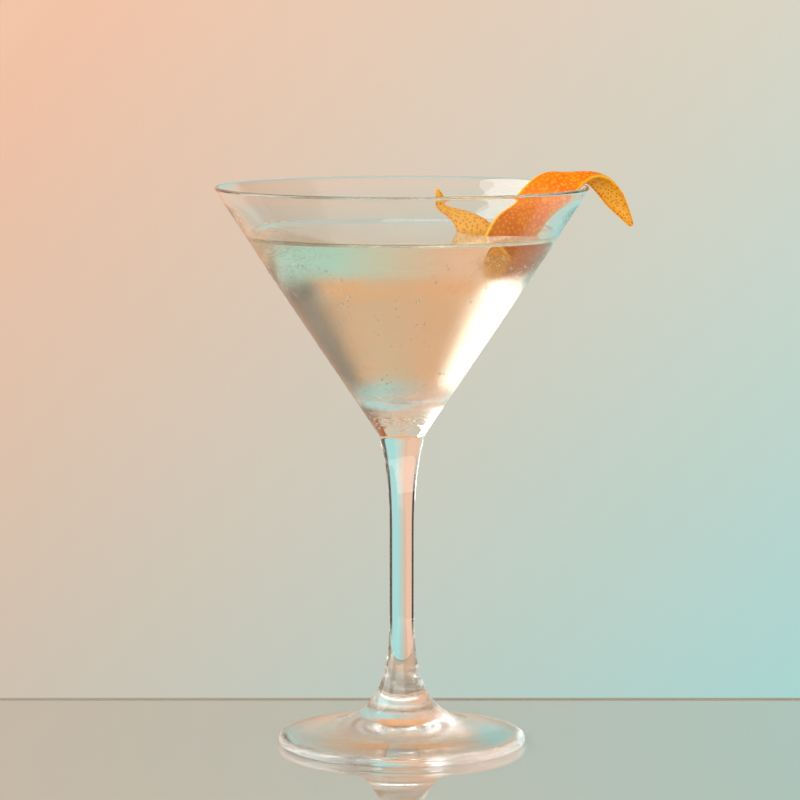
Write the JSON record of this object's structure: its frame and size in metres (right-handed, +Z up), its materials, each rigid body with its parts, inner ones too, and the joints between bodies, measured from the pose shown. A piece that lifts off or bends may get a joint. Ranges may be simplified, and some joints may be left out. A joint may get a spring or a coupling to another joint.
{
  "type": "rum cocktail",
  "caption": "Pale rum cocktail in a clear stemmed cone glass, with a wound strip of orange peel hung over the rim.",
  "frame": {"origin": "centre of the foot's flat underside, on the glass's own axis", "axes": "+Z up along the glass's axis; +X towards the side where the peel hangs over the rim; -Y is the side that shows the rind of the peel's main stretch"},
  "size_m": [0.1307, 0.116, 0.1797],
  "materials": {
    "glass": "clear blown soda-lime glass, fire-polished lip, fine cold mist on the lower bowl and the foot",
    "drink": "clear pale gold liquid with a meniscus at the wall",
    "peel": "fresh orange peel, waxy dimpled rind outside, thin yellow dotted underside"
  },
  "bodies": {
    "root": {"glass": "glass", "drink": "drink", "orange_twist": "peel"}
  },
  "joints": []
}
